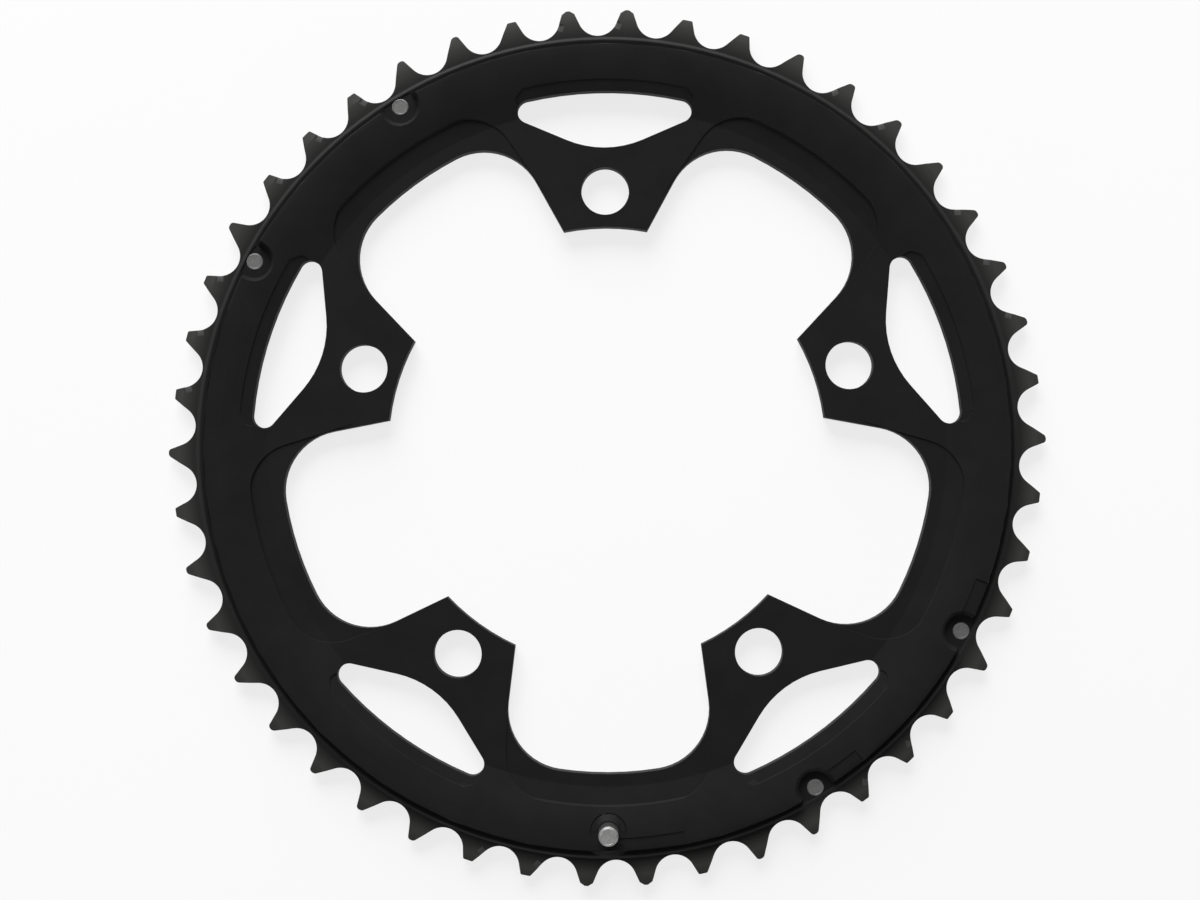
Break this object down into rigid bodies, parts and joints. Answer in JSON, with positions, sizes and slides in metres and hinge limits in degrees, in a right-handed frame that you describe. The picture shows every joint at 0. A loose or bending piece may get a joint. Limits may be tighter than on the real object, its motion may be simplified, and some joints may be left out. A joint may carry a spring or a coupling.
{
  "type": "bicycle chainring",
  "caption": "Outer bicycle chainring: a black anodised toothed ring with bolt tabs, slotted arms, riveted shift pins and a pin that keeps a dropped chain off the crank.",
  "frame": {"origin": "on the ring's axis, in the plane where the backs of the five tabs seat on the spider", "axes": "+Z along the axis, out of the outer face and away from the bicycle; +Y along the arm opposite the chain drop pin"},
  "size_m": [0.1892, 0.1888, 0.011],
  "materials": {
    "anodised_ring": "satin black anodised",
    "steel_pins": "plain steel"
  },
  "bodies": {
    "root": {"chainring": "anodised_ring", "shift_pin_1": "steel_pins", "shift_pin_2": "steel_pins", "shift_pin_3": "steel_pins", "shift_pin_4": "steel_pins", "chain_drop_pin": "steel_pins"}
  },
  "joints": []
}
